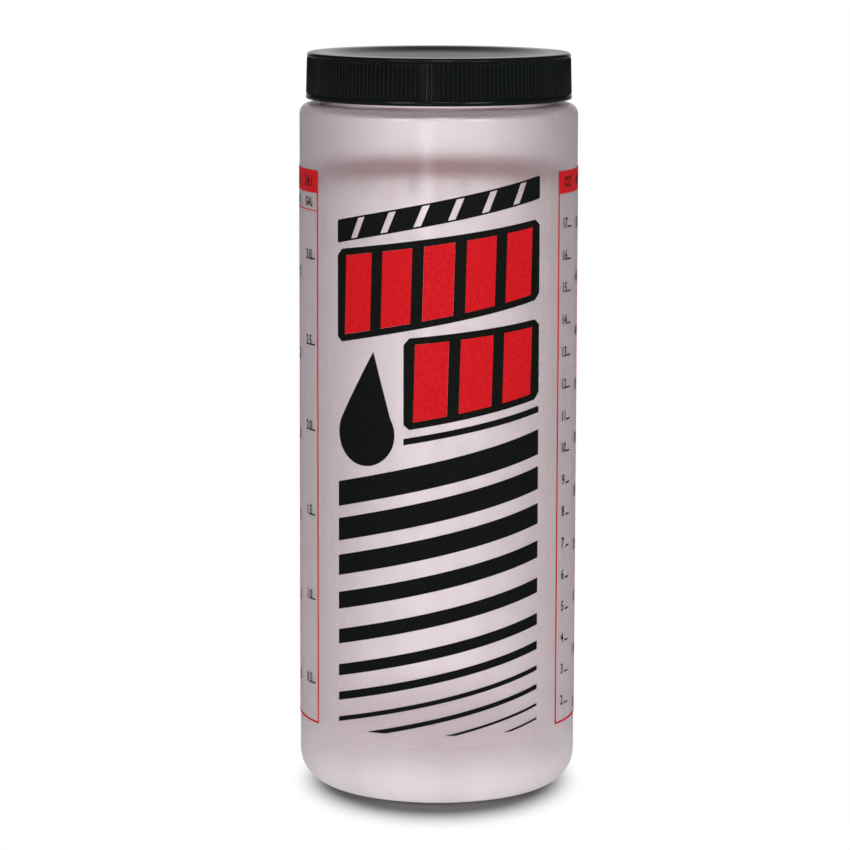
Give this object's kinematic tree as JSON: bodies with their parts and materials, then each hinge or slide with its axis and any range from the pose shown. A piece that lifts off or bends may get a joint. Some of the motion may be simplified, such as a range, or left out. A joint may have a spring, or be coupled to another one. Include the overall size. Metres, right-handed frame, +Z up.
{
  "type": "fuel mixing bottle",
  "caption": "Tall round milky plastic measuring bottle with a printed scale and a black ribbed screw cap on a wide threaded neck.",
  "frame": {"origin": "centre of the foot ring, on the surface the bottle stands on", "axes": "+Z up along the bottle's axis, the printed side faces -Y, +X to the right seen from the printed side"},
  "size_m": [0.071, 0.071, 0.1879],
  "materials": {
    "bottle_plastic": "translucent natural polyethylene, softly glossy",
    "cap_plastic": "black moulded plastic, satin",
    "liner_foam": "white closed-cell foam",
    "black_ink": "screen-printed ink",
    "red_ink": "screen-printed ink"
  },
  "bodies": {
    "bottle": {"bottle": "bottle_plastic", "stripe_1": "black_ink", "stripe_2": "black_ink", "stripe_3": "black_ink", "stripe_4": "black_ink", "stripe_5": "black_ink", "stripe_6": "black_ink", "stripe_7": "black_ink", "stripe_8": "black_ink", "stripe_9": "black_ink", "stripe_10": "black_ink", "stripe_11": "black_ink", "title_band": "black_ink", "upper_frame": "black_ink", "lower_frame": "black_ink", "drop": "black_ink", "subtitle_line": "black_ink", "upper_block_1": "red_ink", "upper_block_2": "red_ink", "upper_block_3": "red_ink", "upper_block_4": "red_ink", "upper_block_5": "red_ink", "lower_block_1": "red_ink", "lower_block_2": "red_ink", "lower_block_3": "red_ink", "scale_table": "red_ink"},
    "liner": {"liner": "liner_foam"},
    "cap": {"cap": "cap_plastic"}
  },
  "joints": [
    {"name": "liner_lift", "type": "slide", "parent": "bottle", "child": "liner", "axis": [0, 0, 1], "range_m": [0, 0.0106]},
    {"name": "cap_turn", "type": "hinge", "parent": "liner", "child": "cap", "pos_m": [0, 0, 0.182], "axis": [0, 0, 1], "range_deg": [0, 900]}
  ],
  "couplings": [
    {"joint": "liner_lift", "follows": "cap_turn", "m_per_rad": 0.00067376}
  ]
}
